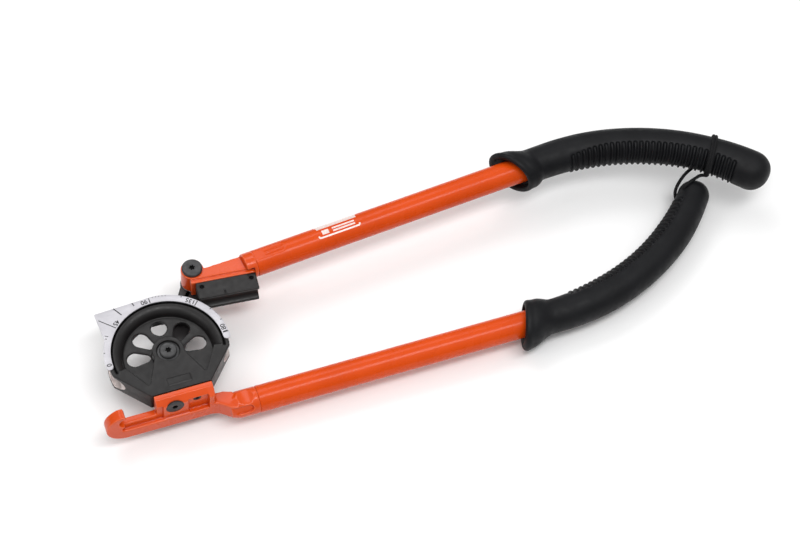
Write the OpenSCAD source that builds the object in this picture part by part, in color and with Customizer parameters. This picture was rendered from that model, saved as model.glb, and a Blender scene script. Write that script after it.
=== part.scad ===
// Two-handed tube bender for 15 mm tube, shown folded shut with its strap on.
// Origin: centre of the former, halfway up its tube groove.
// +X runs along the lower handle to the grips, +Y to the upper handle, +Z up.

/* [Tube and bend] */
// Outer diameter of the tube that is bent
tube_d = 15; // [15:0.05:15.4]
// Radius of the bend, to the tube's centre line
bend_r = 55; // [54.8:0.1:55.2]
// Free play of the tube in the grooves
groove_play = 0.1; // [0:0.05:0.2]

/* [Former] */
// Outer radius of the former's rim
rim_r = 56.5; // [56:0.1:56.8]
// Height of the former
former_h = 22; // [21.5:0.1:22]
// Depth of the pocket in the former's top
pocket_deep = 10; // [8:0.5:11]
// Distance from the centre to the former's straight foot
foot_y = 41.8; // [41.5:0.1:42.2]
// Half the length of the straight foot
foot_half = 28.5; // [27.5:0.5:29.5]

/* [Scale plate] */
// Thickness of the scale plate
plate_t = 1.2; // [0.8:0.1:1.6]
// Inner radius of the scale plate
plate_in_r = 52.4; // [52:0.1:53]
// Outer radius of the scale plate
plate_out_r = 59; // [58:0.1:60]

/* [Levers] */
// Distance between the former's bolt and the upper lever's bolt
link_len = 90; // [89.9:0.05:90.1]
// Direction of the link with the bender folded shut
link_deg = 59; // [58.8:0.1:59.2]
// Direction of the upper lever with the bender folded shut
lever_deg = 5.3; // [5.2:0.1:5.4]
// Outer diameter of the handle tubes
handle_d = 25.4; // [25:0.1:25.8]
// Wall thickness of the handle tubes
handle_wall = 2; // [1.5:0.25:2.5]
// Height of the lower handle's centre line
lower_z = -18.5; // [-18.6:0.1:-18.4]
// Height of the upper handle's centre line
upper_z = 7.5; // [7.4:0.1:7.6]
// Side distance of the lower handle's centre line
lower_y = -58.5; // [-58.8:0.1:-58.2]
// Side distance of the upper handle's centre line from its bolt
upper_y = -14.4; // [-14.6:0.1:-14.2]

/* [Grips] */
// Radius of the rubber grips
grip_r = 17.5; // [17:0.1:18]
// Radius of the flared mouth of the grips
mouth_r = 23; // [22:0.25:24]

/* [Hidden] */
$fn = 96;

eps = 0.01;
gap = 0.3;                              // room between pieces that slide past each other
fit = 0.05;                             // radial play of a running or push fit
groove_r = tube_d / 2 + groove_play;
half_h = former_h / 2;
handle_r = handle_d / 2;
handle_in_r = handle_r - handle_wall;
stub_len = 36;                          // how far a head's stub reaches into its tube

// Bolts
shank_r = 5;
bush_r = 7;
centre_head_r = 8.2;
pivot_head_r = 9.7;
washer_r = 10.3;
washer_t = 1;
hub_top = 8;
hub_r = 15;
pocket_r = plate_in_r - 10.5;           // radius of the pocket in the former's top
under_r = plate_in_r - 11.9;            // and of the one below
gap_w = 1.4;                            // gap between the former's rounded ring and the scale plate
gap_deep = 2;
floor_t = 3;                            // thickness of the former's floor between its two pockets
opening_deg = 10;
opening_step = 40;
opening_far = 38.2;
ring_past = 9;                          // how far the rounded ring runs past the half turn
link_top = -half_h - washer_t - gap;
link_t = 8;
link_low = link_top - link_t;
nut_washer_t = 1.2;
nut_h = 7;
nut_flat_r = 9.2;                       // corner radius of the hexagon nuts
socket_r = 2.9;
head_t = 2.8;

// Upper lever, in its own frame: origin at its bolt, +X along its tube
arm_top = 12;
arm_low = -10.5;
boss_r = 10.8;
pivot_bush_r = 7.5;
arm_rear = -4;
step_x = 47;
upper_seam = 57.5;
shoe_deg = -10.15;
shoe_len = 57.5;
shoe_rear = -14.9;
shoe_gap = 0.6;                         // room between the rim and the shoe's face, square to it
shoe_face = -(link_len - rim_r - shoe_gap);
shoe_h = 20.8;
shoe_pin_in = 5;
tongue_t = 8;
tongue_in = 2;
tongue_v = -24;
plate_low = half_h;
rebate_w = 4;

// Lower head
bar_rear = -45.5;
bar_front = -56;
bar_top = -7.5;
bar_low = -27.5;
ledge_z = -14;                          // top of the flange along the bar's front
wall_y = -52;                           // face of the bar above the flange
recess_end_x = -57;                     // centre of the round left end of that recess
hook_x = -bend_r;
hook_top = 11.8;
block_x = -foot_half + 2;
block_front = -53.5;
block_top = 9.6;
block_bevel = 5;
pocket_y = -50.5;                       // back of the pockets in the block's front
pocket_top = 5.4;
boss_from = -20.5;                      // left and right ends of the boss round the screw
boss_to = 3;
end_rib = 22.5;                         // where the thicker right end of the block starts
neck_from = 31;
neck_to = 46;
collar_from = 40;
collar_cone = 8;                        // length over which the collar grows to the tube's width
saddle_r = 12;                          // dip in the neck's top that a bent tube passes through
saddle_z = -8.5;
kidney_from = 38;
kidney_len = 19;
kidney_r = 3.7;
kidney_tilt = 30;
kidney_deep = 2.2;
lower_seam = 67;
screw_x = -9.5;
screw_r = 4;
screw_head_r = 8.4;
screw_seat_r = screw_head_r + fit;
screw_rim = 2.2;                        // depth of the straight part of the screw's seat
pin_x = 12.2;
pin_r = 3.6;
screw_in = 16;                          // how far screw and pin reach into the former
pin_in = 7;

// Grips: a flared mouth, a straight length and one bend; the tube ends inside the bend
lower_mouth = 329;
lower_straight = 365;
upper_mouth = 322;
upper_straight = 370;
grip_bend_r = 245;
grip_bend = 50;
tube_bend = 40;
mouth_len = 32;
mouth_deep = 5;
tip_step = 0.4;                         // the tip's radius is smaller than the grip's by this

// Strap: an elastic loop through the lower grip's tip and round the upper grip
strap_r = 1.4;
strap_hole_r = 2.2;
strap_hole = [542, 33.5];
strap_wrap = [578, 54.5];
strap_big_r = 22.6;
strap_small_r = 4.2;

pivot = link_len * [cos(link_deg), sin(link_deg), 0];

module upper_frame() { translate(pivot) rotate(lever_deg) children(); }
module shoe_frame() { upper_frame() rotate(shoe_deg) children(); }

// A hexagon nut with its bore, standing on z
module hex_nut(z, h) {
    difference() {
        translate([0, 0, z]) cylinder(r = nut_flat_r, h = h, $fn = 6);
        translate([0, 0, z - eps]) cylinder(r = shank_r, h = h + 2 * eps);
    }
}

module flat_ring(r_out, r_in, z, h) {
    translate([0, 0, z]) rotate_extrude() translate([r_in, 0]) square([r_out - r_in, h]);
}

// A low bolt head with a bevelled edge and a six-lobed socket
module socket_head(r, z, h) {
    bevel = 0.9;
    difference() {
        translate([0, 0, z]) rotate_extrude()
            polygon([[0, 0], [r, 0], [r, h - bevel], [r - bevel, h], [0, h]]);
        translate([0, 0, z + h - 1.9]) {
            cylinder(r = socket_r * 0.72, h = 3);
            for (a = [0:60:300]) rotate(a) translate([socket_r * 0.75, 0, 0]) cylinder(r = 0.75, h = 3);
        }
    }
}

// Former -------------------------------------------------------------------

// Plan outline of the former: round above, two oblique sides and a straight foot
module former_outline(r) {
    far_x = 80;
    far_y = 17;
    intersection() {
        circle(r = r, $fn = 180);
        polygon([[-far_x, far_x], [-far_x, far_y], [-foot_half, -foot_y], [foot_half, -foot_y],
            [far_x, far_y], [far_x, far_x]]);
    }
}

function polar(r, a) = [r * cos(a), r * sin(a)];

// A rounded opening that narrows towards the hub, along direction a
module teardrop(a, r_far, w_far, r_near, w_near) {
    rotate(a) hull() {
        translate([r_far - w_far, 0]) circle(r = w_far, $fn = 32);
        translate([r_near, 0]) circle(r = w_near, $fn = 24);
    }
}

// The pocket's plan: a disc cut off along the two oblique sides and by the web
module pocket_plan(r) {
    far_x = 60;
    far_y = 23;
    low_x = foot_half - 1;
    low_y = -foot_y + 12;
    web_x = 8.5;
    web_y = 9;
    web_slope = 16.5 / 37;
    web_end = 54;
    difference() {
        intersection() {
            circle(r = r, $fn = 180);
            polygon([[-far_x, far_x], [-far_x, far_y], [-low_x, low_y], [low_x, low_y],
                [far_x, far_y], [far_x, far_x]]);
        }
        polygon([[-web_x, web_y], [-web_x - web_slope * web_end, web_y - web_end],
            [web_x + web_slope * web_end, web_y - web_end], [web_x, web_y]]);
        circle(r = hub_r);
    }
}

// Cross-section of what is cut above the rounded ring, with the gap next to the scale plate
module ring_cut_2d() {
    floor_z = half_h - pocket_deep;
    round_r = pocket_deep - 0.4;
    top_r = plate_in_r - gap_w;
    difference() {
        translate([top_r - round_r - 0.2, floor_z]) square([round_r + 0.2 + gap_w, pocket_deep + 1]);
        translate([top_r, floor_z]) circle(r = round_r);
        translate([top_r, floor_z - 1]) square([gap_w + 1, pocket_deep - gap_deep + 1]);
    }
}

module former() {
    floor_z = half_h - pocket_deep;
    color("#2b2b2d") difference() {
        translate([0, 0, -half_h]) linear_extrude(former_h) former_outline(rim_r);
        // tube groove: half a turn, then straight out through both oblique sides
        rotate_extrude(angle = 180) translate([bend_r, 0]) circle(r = groove_r);
        for (s = [-1, 1]) translate([s * bend_r, 0, 0]) rotate([90, 0, 0])
            cylinder(r = groove_r, h = foot_y + 5);
        // pocket, with a rounded wall round its upper half
        translate([0, 0, floor_z]) linear_extrude(pocket_deep + 1) pocket_plan(pocket_r);
        rotate(-ring_past) rotate_extrude(angle = 180 + 2 * ring_past) ring_cut_2d();
        // pocket below
        translate([0, 0, -half_h - 1]) linear_extrude(half_h + floor_z - floor_t + 1) pocket_plan(under_r);
        // five openings through the floor
        for (k = [0:4]) translate([0, 0, -half_h - 1]) linear_extrude(former_h + 2)
            teardrop(opening_deg + opening_step * k, opening_far, 7.4, k == 2 ? 27 : 20.5, 4.2);
        // bolt seat and bush bore in the hub
        translate([0, 0, hub_top]) cylinder(r = washer_r + gap, h = former_h);
        translate([0, 0, -half_h - 1]) cylinder(r = bush_r + fit, h = former_h);
        // threaded hole for the block's screw and hole for the locating pin
        translate([screw_x, -foot_y - 1, 0]) rotate([-90, 0, 0]) cylinder(r = screw_r, h = screw_in + 6);
        translate([pin_x, -foot_y - 1, 0]) rotate([-90, 0, 0]) cylinder(r = pin_r, h = pin_in + 2);
    }
}

// Silver plate with the wing at the 45 degree mark
module scale_plate() {
    from_deg = -1.6;
    to_deg = 181.6;
    mid_r = (plate_in_r + plate_out_r) / 2;
    end_r = (plate_out_r - plate_in_r) / 2;
    wing = [-53.2, 55];
    wing_degs = [96, 153];
    wing_r = 0.6;
    far = 100;
    color("#d5d3da") translate([0, 0, half_h]) linear_extrude(plate_t) difference() {
        union() {
            intersection() {
                circle(r = plate_out_r, $fn = 180);
                polygon([[0, 0], polar(far, to_deg), [-far, far], [far, far], polar(far, from_deg)]);
            }
            for (a = [from_deg, to_deg]) translate(polar(mid_r, a)) circle(r = end_r);
            hull() {
                translate(wing) circle(r = 2 * wing_r, $fn = 24);
                for (a = wing_degs) translate(polar(plate_out_r - wing_r, a)) circle(r = wing_r, $fn = 16);
            }
        }
        circle(r = plate_in_r, $fn = 180);
    }
}

module former_screw() {
    head_y = block_front + 0.4;
    length = -foot_y + screw_in - head_y;
    color("#2a2a2c") translate([screw_x, head_y, 0]) rotate([-90, 0, 0]) difference() {
        rotate_extrude() polygon([[0, 0], [screw_head_r, 0], [screw_head_r, 0.8],
            [screw_r, screw_head_r - screw_r + 0.8], [screw_r, length], [0, length]]);
        translate([0, 0, -1]) cylinder(r = socket_r, h = 4.2, $fn = 6);
    }
}

module former_pin() {
    color("#2a2a2c") translate([pin_x, pocket_y + 0.5, 0]) rotate([-90, 0, 0]) difference() {
        cylinder(r = pin_r, h = -foot_y + pin_in - pocket_y - 0.5);
        translate([0, 0, -1]) cylinder(r = 1.9, h = 3.5, $fn = 6);
    }
}

module centre_bolt() {
    z_head = hub_top + washer_t;
    z_end = link_low - gap - nut_washer_t - nut_h - 1;
    color("#39393c") union() {
        socket_head(centre_head_r, z_head, head_t);
        translate([0, 0, z_end]) cylinder(r = shank_r, h = z_head - z_end);
    }
}

module centre_washer() { color("#303033") flat_ring(washer_r, shank_r + fit, hub_top, washer_t); }

module centre_bush() {
    color("#9a9a9e") flat_ring(bush_r, shank_r + fit, -half_h, half_h + hub_top);
}

module thrust_washer() {
    color("#8d8d90") flat_ring(14, shank_r + fit, -half_h - washer_t, washer_t);
}

module nut_washer() {
    color("#8d8d90") flat_ring(10.5, shank_r + fit, link_low - gap - nut_washer_t, nut_washer_t);
}

module centre_nut() { color("#77777a") hex_nut(link_low - gap - nut_washer_t - nut_h, nut_h); }

// Lower lever ----------------------------------------------------------------

// Side view of the hook, in X and Z: it comes up behind the tube seat and curls over it
module hook_side() {
    tip_x = hook_x + 2;
    difference() {
        union() {
            translate([hook_x - 0.5, (hook_top + bar_low) / 2]) circle(r = (hook_top - bar_low) / 2 - 0.3);
            translate([hook_x, bar_low]) square([20, bar_top - bar_low - 1]);
        }
        translate([hook_x, 0]) circle(r = groove_r);
        translate([hook_x, -groove_r]) square([3, 2 * groove_r]);
        translate([tip_x, bar_top]) square([60, 60]);
    }
}

// Side view of the block that carries the former, in Y and Z
module block_side(front) {
    low = ledge_z - 5;
    polygon([[-foot_y, low], [-foot_y, block_top], [-foot_y - block_bevel, block_top],
        [front, block_top - block_bevel], [front, low]]);
}

// A recess in the front, from x0 to x1 and back to y, above the flange
module front_recess(x0, x1, y, z_top) {
    translate([x0, bar_front - 1, ledge_z]) cube([x1 - x0, y - bar_front + 1, z_top - ledge_z]);
}

// Plan of the neck between block and collar
module neck_plan() {
    polygon([[end_rib, bar_rear - 0.5], [neck_from, bar_rear - 0.3], [neck_from + 7, bar_rear - 0.7],
        [neck_to, lower_y + 9.5], [neck_to, lower_y - 8.5], [neck_from + 9, lower_y - 6.5],
        [neck_from + 5, lower_y - 3], [neck_from, lower_y + 0.8], [end_rib + 1, bar_front + 0.3]]);
}

module lower_head() {
    bar_d = bar_rear - bar_front;
    end_rib_t = foot_half - end_rib - 1;
    color("#e85a1c") difference() {
        union() {
            // hook
            translate([0, bar_rear, 0]) rotate([90, 0, 0]) linear_extrude(bar_d) hook_side();
            // bar
            translate([hook_x + 2, bar_front, bar_low]) cube([neck_from - hook_x - 4, bar_d, bar_top - bar_low]);
            // block, thicker at its right end
            rotate([90, 0, 90]) translate([0, 0, block_x]) linear_extrude(2 * foot_half - 2)
                block_side(block_front);
            // neck, collar and the stub inside the tube
            translate([0, 0, bar_low + 0.4]) linear_extrude(bar_top - bar_low - 0.8) neck_plan();
            translate([collar_from, lower_y, lower_z]) rotate([0, 90, 0]) {
                cylinder(r1 = handle_r - 2.5, r2 = handle_r, h = collar_cone);
                translate([0, 0, collar_cone - eps])
                    cylinder(r = handle_r, h = lower_seam - collar_from - collar_cone + eps);
            }
            translate([lower_seam - 1, lower_y, lower_z]) rotate([0, 90, 0])
                cylinder(r = handle_in_r - fit, h = stub_len);
        }
        // long recess above the flange, deeper left of the block, with a round left end
        front_recess(block_x - eps, end_rib, block_front, bar_top + eps);
        front_recess(recess_end_x, block_x, wall_y, bar_top + 1);
        translate([recess_end_x, bar_front - 1, (ledge_z + bar_top) / 2]) rotate([-90, 0, 0])
            cylinder(r = (bar_top - ledge_z) / 2, h = wall_y - bar_front + 1);
        // pockets beside the screw's boss and round the pin
        front_recess(block_x - 1, boss_from, pocket_y - 1, pocket_top);
        front_recess(boss_to, end_rib, pocket_y, pocket_top);
        // saddle in the neck's top, in line with the former's right run-out
        translate([bend_r, lower_y - 20, saddle_z + saddle_r]) rotate([-90, 0, 0]) cylinder(r = saddle_r, h = 40);
        // kidney-shaped recess in the neck's front
        translate([kidney_from, lower_y, lower_z]) rotate([90 - kidney_tilt, 0, 0])
            translate([0, 0, handle_r - kidney_deep]) linear_extrude(2 * kidney_deep) hull() {
                circle(r = kidney_r, $fn = 32);
                translate([kidney_len, 0]) circle(r = kidney_r, $fn = 32);
            }
        // seats and holes for the former's screw and pin
        translate([screw_x, block_front - 1, 0]) rotate([-90, 0, 0]) {
            cylinder(r = screw_r + fit, h = 20);
            cylinder(r = screw_seat_r, h = screw_rim + fit);
            translate([0, 0, screw_rim + fit - eps])
                cylinder(r1 = screw_seat_r, r2 = screw_r + fit, h = screw_seat_r - screw_r);
        }
        translate([pin_x, block_front - 1, 0]) rotate([-90, 0, 0]) cylinder(r = pin_r + fit, h = 20);
    }
    color("#e85a1c") rotate([90, 0, 90]) translate([0, 0, end_rib]) linear_extrude(end_rib_t)
        block_side(bar_front + 0.5);
}

// Lengths of bar and tube along +X, solid or hollow (r_in = 0 is solid)
module straight(x0, x1, r, r_in) {
    translate([x0, 0, 0]) rotate([90, 0, 90]) linear_extrude(x1 - x0) ring_2d(r, r_in);
}

module ring_2d(r, r_in) {
    difference() {
        circle(r = r);
        if (r_in > 0) circle(r = r_in);
    }
}

// A bend that starts along +X and turns towards +Y
module bend_arc(r_bend, from_deg, to_deg, r, r_in) {
    translate([0, r_bend, 0]) rotate(from_deg - 90) rotate_extrude(angle = to_deg - from_deg)
        translate([r_bend, 0]) ring_2d(r, r_in);
}

// Moves to the end of a bend
module after_bend(r_bend, deg) {
    translate([r_bend * sin(deg), r_bend * (1 - cos(deg)), 0]) rotate(deg) children();
}

// The flared mouth of a grip, as one turned shape
module grip_mouth(x, x_end) {
    translate([x, 0, 0]) rotate([0, 90, 0]) rotate_extrude()
        polygon([[0, 0], [mouth_r - 2, 0], [mouth_r, 2.5], [mouth_r - 1.2, 12], [grip_r, mouth_len],
            [grip_r, x_end - x], [0, x_end - x]]);
}

// The room that a grip leaves for its tube, up to the first bend
module mouth_bore(x, x_end) {
    straight(x - 1, x_end, handle_r + fit, 0);
    straight(x - 1, x + mouth_deep, handle_r + 4, 0);
}

// A handle tube: straight, then bent inside its grip
module handle_tube(x0, x_straight) {
    straight(x0, x_straight, handle_r, handle_in_r);
    translate([x_straight, 0, 0]) bend_arc(grip_bend_r, 0, tube_bend, handle_r, handle_in_r);
}

// A rubber grip: flared mouth, bend and round tip, hollow for its tube
module grip(x_mouth, x_straight) {
    difference() {
        union() {
            grip_mouth(x_mouth, x_straight);
            translate([x_straight, 0, 0]) {
                bend_arc(grip_bend_r, 0, grip_bend, grip_r, 0);
                after_bend(grip_bend_r, grip_bend) sphere(r = grip_r - tip_step);
            }
        }
        mouth_bore(x_mouth, x_straight);
        translate([x_straight, 0, 0]) bend_arc(grip_bend_r, 0, tube_bend, handle_r + fit, 0);
    }
}

module lower_tube() {
    color("#e85a1c") translate([0, lower_y, lower_z]) handle_tube(lower_seam, lower_straight);
}

module lower_grip() {
    color("#232325") difference() {
        translate([0, lower_y, lower_z]) grip(lower_mouth, lower_straight);
        translate([strap_hole.x, strap_hole.y, -60]) cylinder(r = strap_hole_r, h = 80);
    }
}

// Link -------------------------------------------------------------------------

module link_arm() {
    end_r = 11.5;
    width = 20;
    color("#2a2a2c") translate([0, 0, link_low]) difference() {
        linear_extrude(link_t) rotate(link_deg) union() {
            circle(r = 13);
            translate([link_len, 0]) circle(r = end_r);
            translate([0, -width / 2]) square([link_len, width]);
        }
        translate([0, 0, -1]) cylinder(r = bush_r, h = link_t + 2);
        translate(pivot - [0, 0, 1]) cylinder(r = shank_r, h = link_t + 2);
    }
}

module link_bush() { color("#b08d57") flat_ring(bush_r, shank_r + fit, link_low, link_t); }

module pivot_bolt() {
    z_head = arm_top + gap;
    z_end = link_low - nut_h - 1;
    color("#39393c") translate(pivot) union() {
        socket_head(pivot_head_r, z_head, head_t);
        translate([0, 0, z_end]) cylinder(r = shank_r, h = z_head - z_end);
    }
}

module pivot_thrust_washer() {
    color("#8d8d90") translate(pivot) flat_ring(10.5, shank_r, link_top, arm_low - gap - link_top);
}

module pivot_nut() { color("#77777a") translate(pivot) hex_nut(link_low - nut_h, nut_h); }

module pivot_bush() {
    color("#b08d57") translate(pivot) flat_ring(pivot_bush_r, shank_r + fit, arm_low, arm_top - arm_low);
}

// Upper lever ------------------------------------------------------------------

module upper_head() {
    shoe_line = shoe_len + 1;
    color("#e85a1c") upper_frame() difference() {
        union() {
            translate([0, 0, arm_low]) cylinder(r = boss_r, h = arm_top - arm_low);
            // arm: straight along the tube behind, and along the shoe in front
            translate([0, 0, arm_low]) linear_extrude(arm_top - arm_low)
                polygon([[0, boss_r], [9, arm_rear + 1], [step_x, arm_rear], [upper_seam - 1, arm_rear],
                    [shoe_line * cos(shoe_deg) + shoe_rear * sin(-shoe_deg),
                     shoe_line * sin(shoe_deg) + shoe_rear * cos(shoe_deg)],
                    [shoe_rear * sin(-shoe_deg) - 4, shoe_rear * cos(shoe_deg) + 0.7]]);
            // collar and the stub inside the tube
            translate([step_x, upper_y, upper_z]) rotate([0, 90, 0]) cylinder(r = handle_r, h = upper_seam - step_x);
            translate([upper_seam - 1, upper_y, upper_z]) rotate([0, 90, 0])
                cylinder(r = handle_in_r - fit, h = stub_len);
        }
        translate([0, 0, arm_low - 1]) cylinder(r = pivot_bush_r + fit, h = arm_top - arm_low + 2);
        rotate(shoe_deg) {
            // the shoe's seat
            translate([0, shoe_rear - 30, arm_low - 1]) cube([shoe_len + 0.2, 30, 30]);
            // rebate along the seat, which passes under the scale plate's wing
            translate([-20, shoe_rear - 1, plate_low - gap]) cube([shoe_len + 20, rebate_w + 1, 5]);
        }
    }
    // tongue that the shoe slides on to, with the holes of its two pins
    color("#e85a1c") shoe_frame() difference() {
        translate([tongue_in, tongue_v, -tongue_t / 2])
            cube([shoe_len - 2 * tongue_in, shoe_rear - tongue_v + 2, tongue_t]);
        shoe_pin_holes(2 + fit);
    }
}

module shoe_pin_holes(r) {
    for (x = [shoe_pin_in, shoe_len - shoe_pin_in])
        translate([x, shoe_rear - shoe_pin_in, -20]) cylinder(r = r, h = 40);
}

module upper_tube() {
    color("#e85a1c") upper_frame() translate([0, upper_y, upper_z]) mirror([0, 1, 0])
        handle_tube(upper_seam, upper_straight);
}

module upper_grip() {
    color("#232325") upper_frame() translate([0, upper_y, upper_z]) mirror([0, 1, 0])
        grip(upper_mouth, upper_straight);
}

// The shoe backs the tube opposite the former; its groove is shallow, to clear the rim
module shoe() {
    axis_v = shoe_face - (rim_r + shoe_gap - bend_r);
    color("#2e2e30") shoe_frame() difference() {
        translate([0, shoe_face, -shoe_h / 2]) cube([shoe_len, shoe_rear - shoe_face, shoe_h]);
        translate([-1, axis_v, 0]) rotate([0, 90, 0])
            cylinder(r = groove_r, h = shoe_len + 2);
        // slot for the upper head's tongue
        translate([tongue_in - fit, tongue_v - fit, -tongue_t / 2 - fit])
            cube([shoe_len - 2 * (tongue_in - fit), shoe_rear - tongue_v + 1, tongue_t + 2 * fit]);
        shoe_pin_holes(2);
    }
}

module shoe_pins() {
    color("#1c1c1e") shoe_frame() for (x = [shoe_pin_in, shoe_len - shoe_pin_in])
        translate([x, shoe_rear - shoe_pin_in, -shoe_h / 2]) cylinder(r = 2, h = shoe_h - 1.2);
}

// Strap ------------------------------------------------------------------------

// A closed loop in its own upright plane: round the grip at one end, through the hole at the other
function loop_points(dist) = concat(
    [for (k = [0:20]) [dist, 0] + strap_big_r * polar(1, -105 + 210 * k / 20)],
    [for (k = [0:8]) strap_small_r * polar(1, 105 + 150 * k / 8)]);

module strap() {
    run = strap_wrap - strap_hole;
    flat = norm(run);
    rise = upper_z - lower_z;
    dist = norm([flat, rise]);
    path = loop_points(dist);
    n = len(path);
    sides = 8;
    rings = [for (k = [0:n - 1]) let(
            along = path[(k + 1) % n] - path[(k + n - 1) % n],
            side = [along.y, -along.x] / norm(along))
        for (j = [0:sides - 1]) [
            path[k].x + side.x * strap_r * cos(360 * j / sides),
            path[k].y + side.y * strap_r * cos(360 * j / sides),
            strap_r * sin(360 * j / sides)]];
    faces = [for (k = [0:n - 1]) for (j = [0:sides - 1]) let(
            a = k * sides, b = ((k + 1) % n) * sides, j2 = (j + 1) % sides)
        [a + j, b + j, b + j2, a + j2]];
    color("#1f1f21") translate([strap_hole.x, strap_hole.y, lower_z]) rotate(atan2(run.y, run.x))
        rotate([0, -atan2(rise, flat), 0]) rotate([90, 0, 0]) polyhedron(points = rings, faces = faces);
}

lower_head();
lower_tube();
lower_grip();
former();
scale_plate();
former_screw();
former_pin();
centre_bolt();
centre_washer();
centre_bush();
thrust_washer();
nut_washer();
centre_nut();
strap();
link_arm();
link_bush();
pivot_bolt();
pivot_thrust_washer();
pivot_nut();
pivot_bush();
upper_head();
upper_tube();
upper_grip();
shoe();
shoe_pins();
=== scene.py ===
"""Looks of a two-handed tube bender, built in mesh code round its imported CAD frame."""
import math

import bmesh
import bpy
from mathutils import Matrix, Vector


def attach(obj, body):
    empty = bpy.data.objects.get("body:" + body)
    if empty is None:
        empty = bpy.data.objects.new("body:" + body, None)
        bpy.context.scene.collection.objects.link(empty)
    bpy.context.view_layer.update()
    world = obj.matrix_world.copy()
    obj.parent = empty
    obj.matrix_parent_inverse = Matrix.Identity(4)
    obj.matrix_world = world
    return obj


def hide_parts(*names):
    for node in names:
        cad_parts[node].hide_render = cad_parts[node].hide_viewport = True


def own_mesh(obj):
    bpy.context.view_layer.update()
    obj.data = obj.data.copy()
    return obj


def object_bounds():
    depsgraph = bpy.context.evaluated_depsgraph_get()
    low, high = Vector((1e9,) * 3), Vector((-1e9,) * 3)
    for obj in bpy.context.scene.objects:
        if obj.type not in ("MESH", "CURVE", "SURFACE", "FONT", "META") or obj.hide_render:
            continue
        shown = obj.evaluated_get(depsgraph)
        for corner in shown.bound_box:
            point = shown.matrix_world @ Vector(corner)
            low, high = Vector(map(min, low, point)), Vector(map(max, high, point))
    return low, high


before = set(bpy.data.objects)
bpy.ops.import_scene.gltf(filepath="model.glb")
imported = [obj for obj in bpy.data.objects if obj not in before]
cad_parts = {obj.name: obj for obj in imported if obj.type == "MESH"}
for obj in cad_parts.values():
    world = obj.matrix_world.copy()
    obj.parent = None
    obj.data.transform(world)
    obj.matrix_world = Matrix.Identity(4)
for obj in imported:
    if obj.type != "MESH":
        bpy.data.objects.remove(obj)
CAD_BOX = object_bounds()
MM = 0.001
TAU = 2 * math.pi

# Camera, at the photograph's viewing angle
CAMERA_TARGET = Vector((0.23793, 0.02789, 0))
CAMERA_DISTANCE = 1.9912
CAMERA_AZIMUTH, CAMERA_ELEVATION, CAMERA_ROLL = 26.41, 56.90, -7.47
CAMERA_LENS = 93.79

# Dimensions of the CAD model, in millimetres
HANDLE_R = 12.7
HANDLE_WALL = 2
GRIP_BEND_R = 245
GRIP_BEND = 50
GROOVE_BEND_R = 55
GROOVE_R = 7.6
PLATE_TOP = 12.2
FORMER_TOP = 11
PLATE_INNER_R, PLATE_OUTER_R = 52.4, 59
SCREW_X, SCREW_Y = -9.5, -53.1         # the former's screw: its axis and the face of its head
CENTRE_TOP, PIVOT_TOP = 11.8, 15.1     # tops of the two bolts' heads
PIVOT = Vector((90 * math.cos(math.radians(59)), 90 * math.sin(math.radians(59)), 0))
SHOE_HEADING = math.radians(5.3 - 10.15)

LOWER = {"body": "lower_lever", "origin": Vector((0, 0, 0)), "heading": 0.0, "y": -58.5, "z": -18.5,
         "straight": 365, "turn": 1, "mouth": 326, "seam": 67, "droop": 0,
         "oblique": 14, "inner_lip": -1.8, "outer_lip": 3.2}
UPPER = {"body": "upper_lever", "origin": PIVOT, "heading": math.radians(5.3), "y": -14.4, "z": 7.5,
         "straight": 370, "turn": -1, "mouth": 318, "seam": 57.5, "droop": 3.0,
         "oblique": 23, "inner_lip": -0.6, "outer_lip": 0.4}


# ---------------------------------------------------------------- small helpers

def smooth(t):
    """Smooth step from 0 to 1."""
    t = min(max(t, 0.0), 1.0)
    return t * t * (3 - 2 * t)


def along(table, s):
    """Smooth curve through (place, value) pairs."""
    if s <= table[0][0]:
        return table[0][1]
    for (s0, v0), (s1, v1) in zip(table, table[1:]):
        if s <= s1:
            return v0 + (v1 - v0) * smooth((s - s0) / (s1 - s0))
    return table[-1][1]


def new_object(name, mesh):
    obj = bpy.data.objects.new(name, mesh)
    bpy.context.scene.collection.objects.link(obj)
    return obj


def shade(obj, sharp_deg=35):
    """Smooth shading, with edges sharper than the angle kept."""
    obj.data.polygons.foreach_set("use_smooth", [True] * len(obj.data.polygons))
    obj.data.set_sharp_from_angle(angle=math.radians(sharp_deg))


def apply_modifiers(obj):
    """Replaces the object's mesh by what its modifiers make of it."""
    graph = bpy.context.evaluated_depsgraph_get()
    mesh = bpy.data.meshes.new_from_object(obj.evaluated_get(graph))
    obj.modifiers.clear()
    obj.data = mesh


def cad_copy(node, name):
    """A welded copy of a CAD node's mesh, with its flat faces whole again."""
    bm = bmesh.new()
    bm.from_mesh(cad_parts[node].data)
    bmesh.ops.remove_doubles(bm, verts=bm.verts, dist=2e-6)
    mesh = bpy.data.meshes.new(name)
    bm.to_mesh(mesh)
    bm.free()
    for layer in ("custom_normal", "sharp_edge", "sharp_face"):
        if layer in mesh.attributes:
            mesh.attributes.remove(mesh.attributes[layer])
    return new_object(name, mesh)


def settle(obj, body, material, slot, *nodes):
    """Puts a finished piece on its body, with its material, in place of CAD nodes."""
    obj.data.materials.clear()
    obj.data.materials.append(material)
    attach(obj, body)
    if nodes:
        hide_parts(*nodes)
    return obj


# ---------------------------------------------------------------- materials

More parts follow.
